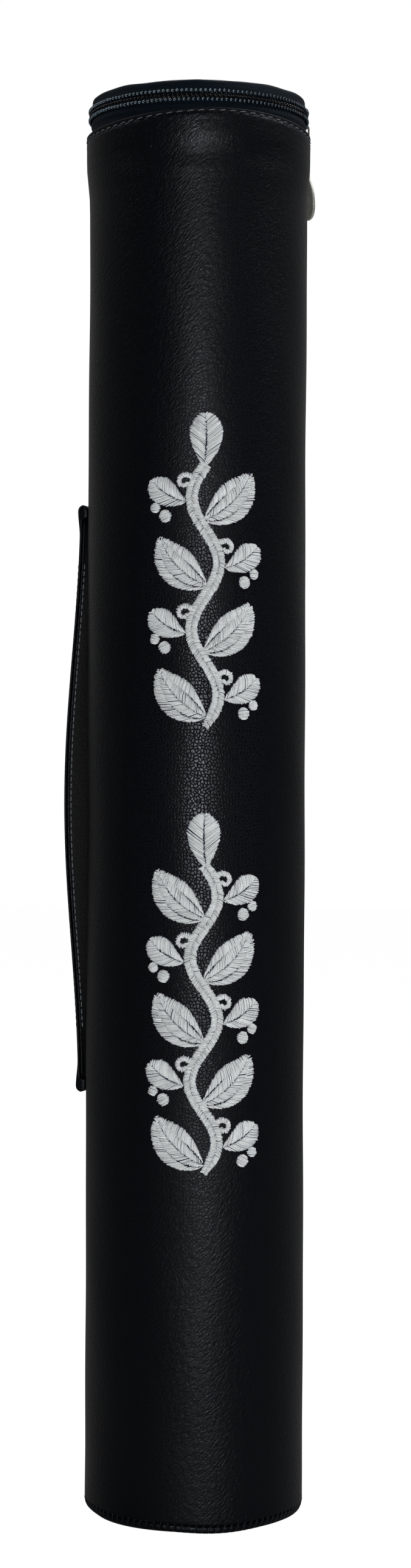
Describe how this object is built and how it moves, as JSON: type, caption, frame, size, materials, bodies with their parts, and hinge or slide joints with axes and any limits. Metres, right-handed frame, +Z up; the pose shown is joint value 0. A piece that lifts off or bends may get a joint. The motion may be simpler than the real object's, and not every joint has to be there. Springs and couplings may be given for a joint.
{
  "type": "megillah case",
  "caption": "Slim round leather case for a rolled parchment, with a zip-closed hinged lid, a strap handle and an embroidered front.",
  "frame": {"origin": "centre of the base, on the tube's axis, on the face that the case stands on", "axes": "+Z up along the tube's axis to the lid, -Y out of the embroidered front, +X to the right seen from the front"},
  "size_m": [0.0868, 0.0771, 0.4872],
  "materials": {
    "leather": "pebble grain, semi-matt",
    "zip_tape": "woven",
    "zip_coil": "satin nylon",
    "board": "matt",
    "lining": "plain weave",
    "zip_metal": "satin nickel"
  },
  "bodies": {
    "case": {"tube_core": "board", "leather_wrap": "leather", "inner_lining": "lining", "bottom_cover": "leather", "bottom_board": "board", "bottom_lining": "lining", "lower_zip_tape": "zip_tape", "hinge_case_side": "leather", "lower_zip_teeth": "zip_coil", "zip_stop_start": "zip_metal", "zip_stop_lower": "zip_metal", "handle_strap": "leather", "handle_strap_lining": "leather"},
    "lid": {"lid_board": "board", "lid_cover": "leather", "lid_inner_disc": "lining", "upper_zip_tape": "zip_tape", "hinge_lid_side": "leather", "upper_zip_teeth": "zip_coil", "zip_stop_upper": "zip_metal"},
    "slider": {"zip_slider": "zip_metal"},
    "pull": {"pull_ring": "zip_metal", "zip_pull": "zip_metal"}
  },
  "joints": [
    {"name": "lid_hinge", "type": "hinge", "parent": "case", "child": "lid", "pos_m": [0.01501, 0.03371, 0.4802], "axis": [-0.9135, 0.4067, 0], "range_deg": [0, 135], "deforming": ["upper_zip_tape"]},
    {"name": "slider_run", "type": "hinge", "parent": "case", "child": "slider", "pos_m": [0, 0, 0.4802], "axis": [0, 0, 1], "range_deg": [-273.2, 0], "deforming": ["lower_zip_teeth", "upper_zip_teeth"]},
    {"name": "pull_swing", "type": "hinge", "parent": "slider", "child": "pull", "pos_m": [0.03733, 0.01558, 0.4802], "axis": [0.3851, -0.9229, 0], "range_deg": [0, 160]}
  ]
}
